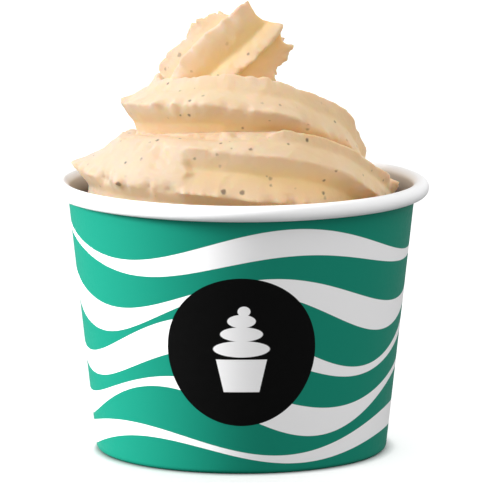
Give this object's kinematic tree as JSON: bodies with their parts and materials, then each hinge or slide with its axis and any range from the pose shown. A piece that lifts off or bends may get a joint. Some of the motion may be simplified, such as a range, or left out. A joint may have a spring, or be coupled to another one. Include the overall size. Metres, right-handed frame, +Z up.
{
  "type": "gelato cup",
  "caption": "Round paper cup with a rolled rim, filled with gelato piped in a tall ridged swirl that ends in a slanted, broken peak.",
  "frame": {"origin": "on the floor, under the cup's axis", "axes": "+Z up, -Y towards the front of the cup as pictured, +X to its right"},
  "size_m": [0.08, 0.08, 0.0964],
  "materials": {
    "printed_board": "white coated paperboard with a green print",
    "plain_board": "white coated paperboard",
    "gelato": "soft, slightly moist cream"
  },
  "bodies": {
    "root": {"cup_wall": "printed_board", "cup_base": "plain_board", "gelato": "gelato"}
  },
  "joints": []
}
